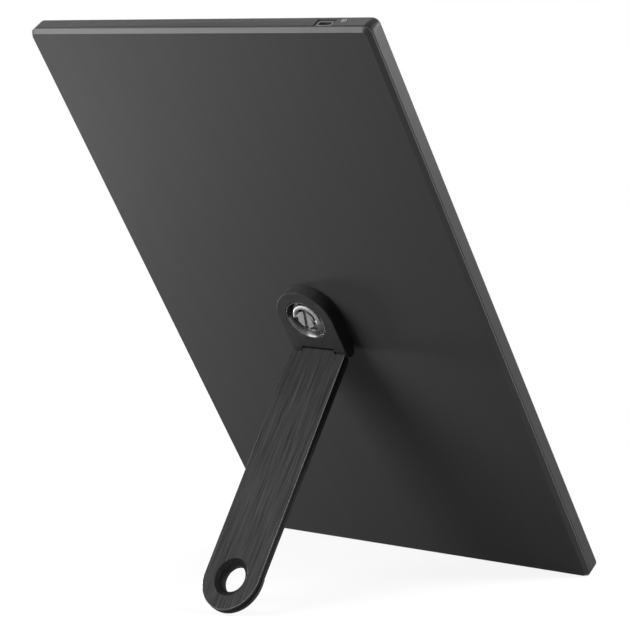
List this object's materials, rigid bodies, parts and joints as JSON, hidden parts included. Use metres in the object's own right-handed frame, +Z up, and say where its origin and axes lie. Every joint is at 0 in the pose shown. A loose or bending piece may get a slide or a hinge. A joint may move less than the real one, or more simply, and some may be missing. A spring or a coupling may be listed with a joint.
{
  "type": "portable monitor",
  "caption": "Slim portable monitor on its short edge, leaning on a folding stand: a round head held by a captive tripod screw, and a hinged brushed arm with a hanging hole.",
  "frame": {"origin": "middle of the box's base: on the surface that the panel's lower edge and the arm's foot stand on", "axes": "+Z up, +X to the screen's right as its user sees it, +Y away from the screen, to the stand's side"},
  "size_m": [0.2264, 0.2022, 0.3081],
  "materials": {
    "cover_black": "fine matt texture",
    "frame_black": "satin",
    "screen_glass": "dark, low gloss",
    "white_film": "matt",
    "clear_guide": "clear",
    "tray_metal": "mill finish",
    "black_tape": "matt",
    "board_green": "satin",
    "chip_black": "matt",
    "amber_flex": "satin",
    "screw_steel": "bright",
    "plain_steel": "satin",
    "bush_brass": "machined",
    "head_dark": "dark anodised",
    "cup_bright": "polished",
    "screw_bright": "turned",
    "arm_brushed": "dark anodised, brushed along the arm",
    "liner_black": "matt",
    "rubber_black": "matt"
  },
  "bodies": {
    "panel": {"rear_cover": "cover_black", "front_frame": "frame_black", "bezel_tape": "black_tape", "lcd_glass": "screen_glass", "diffuser_films": "white_film", "light_guide": "clear_guide", "reflector_sheet": "white_film", "backlight_tray": "tray_metal", "led_strip": "board_green", "panel_board": "board_green", "panel_flex": "amber_flex", "main_board": "board_green", "board_chips": "chip_black", "board_screws": "screw_steel", "insulation_film": "black_tape", "usb_c_shell": "plain_steel", "usb_c_tongue": "chip_black", "key_switches": "chip_black", "key_board": "board_green", "key_screws": "screw_steel", "status_light": "clear_guide", "display_cable": "amber_flex", "key_cable": "amber_flex", "mount_plate": "plain_steel", "mount_screws": "screw_steel", "tripod_nut": "bush_brass"},
    "stand_head": {"stand_head": "head_dark", "head_pad": "rubber_black", "screw_cup": "cup_bright", "hinge_shaft": "plain_steel", "hinge_plug": "head_dark", "friction_washers": "plain_steel"},
    "stand_arm": {"arm_plate": "arm_brushed", "arm_liner": "liner_black", "foot_pad": "rubber_black", "friction_bush": "bush_brass"},
    "screw_clip": {"screw_clip": "plain_steel"},
    "tripod_screw": {"tripod_screw": "screw_bright"},
    "d_ring": {"d_ring": "screw_bright"},
    "power_key": {"power_key": "frame_black"},
    "plus_key": {"plus_key": "frame_black"},
    "minus_key": {"minus_key": "frame_black"}
  },
  "joints": [
    {"name": "stand_swivel", "type": "hinge", "parent": "panel", "child": "stand_head", "pos_m": [0, 0.00501, 0.15072], "axis": [0, 0.8425, -0.5387], "continuous": true},
    {"name": "arm_hinge", "type": "hinge", "parent": "stand_head", "child": "stand_arm", "pos_m": [0, -0.00307, 0.12918], "axis": [1, 0, 0], "range_deg": [-67.2, 22.8]},
    {"name": "screw_travel", "type": "slide", "parent": "panel", "child": "screw_clip", "axis": [0, 0.8425, -0.5387], "range_m": [0, 0.00128]},
    {"name": "screw_turn", "type": "hinge", "parent": "screw_clip", "child": "tripod_screw", "pos_m": [0, 0.00501, 0.15072], "axis": [0, 0.8425, -0.5387], "range_deg": [0, 360]},
    {"name": "ring_flip", "type": "hinge", "parent": "tripod_screw", "child": "d_ring", "pos_m": [0, 0.01086, 0.14698], "axis": [-0.9636, -0.144, -0.2251], "range_deg": [0, 180]},
    {"name": "power_press", "type": "slide", "parent": "panel", "child": "power_key", "axis": [0, 0.8425, -0.5387], "range_m": [0, 0.0004], "stiffness_N_per_m": 1500, "springref_m": -0.0002},
    {"name": "plus_press", "type": "slide", "parent": "panel", "child": "plus_key", "axis": [0, 0.8425, -0.5387], "range_m": [0, 0.0004], "stiffness_N_per_m": 1500, "springref_m": -0.0002},
    {"name": "minus_press", "type": "slide", "parent": "panel", "child": "minus_key", "axis": [0, 0.8425, -0.5387], "range_m": [0, 0.0004], "stiffness_N_per_m": 1500, "springref_m": -0.0002}
  ],
  "couplings": [
    {"joint": "screw_travel", "follows": "screw_turn", "m_per_rad": 0.00020213}
  ]
}
